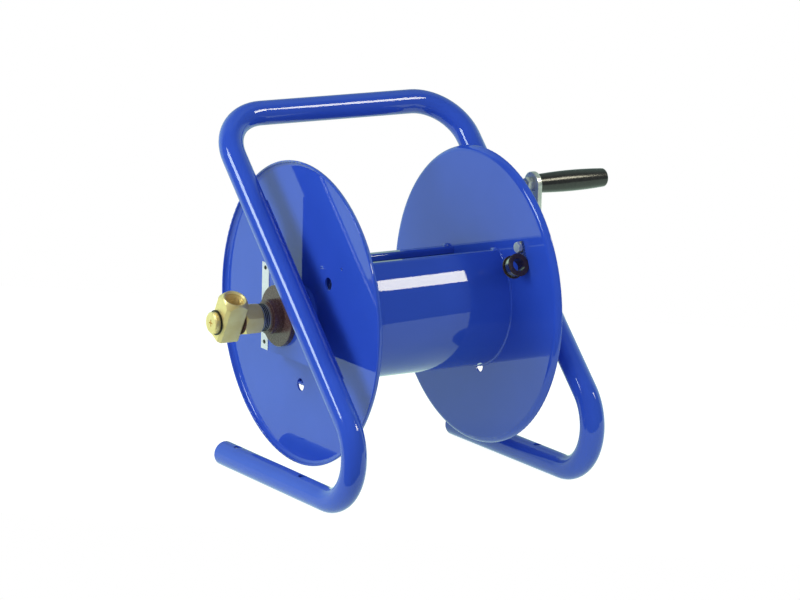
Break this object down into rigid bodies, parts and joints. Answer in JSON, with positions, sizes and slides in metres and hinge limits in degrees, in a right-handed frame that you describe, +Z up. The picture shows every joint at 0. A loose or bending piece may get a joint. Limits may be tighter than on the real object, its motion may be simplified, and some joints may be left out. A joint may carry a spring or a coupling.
{
  "type": "hand-crank hose reel",
  "caption": "Portable hand-crank hose reel: bent tube frame with carrying bar, flanged drum, brass inlet swivel, crank arm with spinning grip.",
  "frame": {"origin": "centre of the four foot holes, on the floor under the feet", "axes": "+X along the axle from the inlet swivel to the crank, +Y from the front bends to the open ends of the feet, +Z up"},
  "size_m": [0.4641, 0.3289, 0.3665],
  "materials": {
    "blue_enamel": "glossy blue powder coat",
    "brass": "machined and cast brass, lightly polished",
    "zinc": "bright zinc plate",
    "spring_steel": "black oxide spring steel",
    "clamp_steel": "dull bronze-grey plated strap",
    "bearing_plastic": "dark grey moulded plastic with a low sheen",
    "grip_plastic": "black moulded plastic with a soft sheen",
    "rubber": "black rubber, satin",
    "rating_plate": "plain white plate with no print"
  },
  "bodies": {
    "frame": {"frame_tube": "blue_enamel", "left_bearing_plate": "blue_enamel", "right_bearing_plate": "blue_enamel", "left_bearing": "bearing_plastic", "right_bearing": "bearing_plastic", "bearing_retaining_rings": "spring_steel", "rating_plate": "rating_plate", "rating_plate_rivets": "spring_steel"},
    "reel": {"left_disc": "blue_enamel", "right_disc": "blue_enamel", "drum_shell": "blue_enamel", "left_hub": "blue_enamel", "right_hub": "blue_enamel", "hub_bolts": "zinc", "hub_nuts": "zinc", "hub_set_screws": "spring_steel", "thrust_washers": "bearing_plastic", "axle_pipe": "zinc", "riser_elbow": "zinc", "riser_nipple": "zinc", "outlet_elbow": "zinc", "outlet_fitting": "brass", "swivel_stem": "brass", "swivel_o_rings": "rubber", "swivel_thrust_washer": "bearing_plastic", "swivel_retaining_ring": "spring_steel", "swivel_cap": "brass", "crank_shaft": "zinc", "crank_arm": "zinc", "crank_washer": "zinc", "crank_bolt": "zinc", "handle_bolt": "zinc", "handle_nut": "zinc", "handle_sleeve": "zinc", "handle_washer": "bearing_plastic", "hose_clamp_strap": "clamp_steel", "hose_clamp_cushion": "rubber", "hose_clamp_bolt": "zinc", "hose_clamp_nut": "zinc"},
    "inlet": {"swivel_body": "brass"},
    "handle": {"handle_grip": "grip_plastic"}
  },
  "joints": [
    {"name": "reel_spin", "type": "hinge", "parent": "frame", "child": "reel", "pos_m": [0, 0.0055, 0.171], "axis": [1, 0, 0], "continuous": true},
    {"name": "inlet_swivel", "type": "hinge", "parent": "frame", "child": "inlet", "pos_m": [-0.1865, 0.0055, 0.171], "axis": [1, 0, 0], "continuous": true},
    {"name": "handle_spin", "type": "hinge", "parent": "reel", "child": "handle", "pos_m": [0.216, 0.0055, 0.28], "axis": [1, 0, 0], "continuous": true}
  ]
}
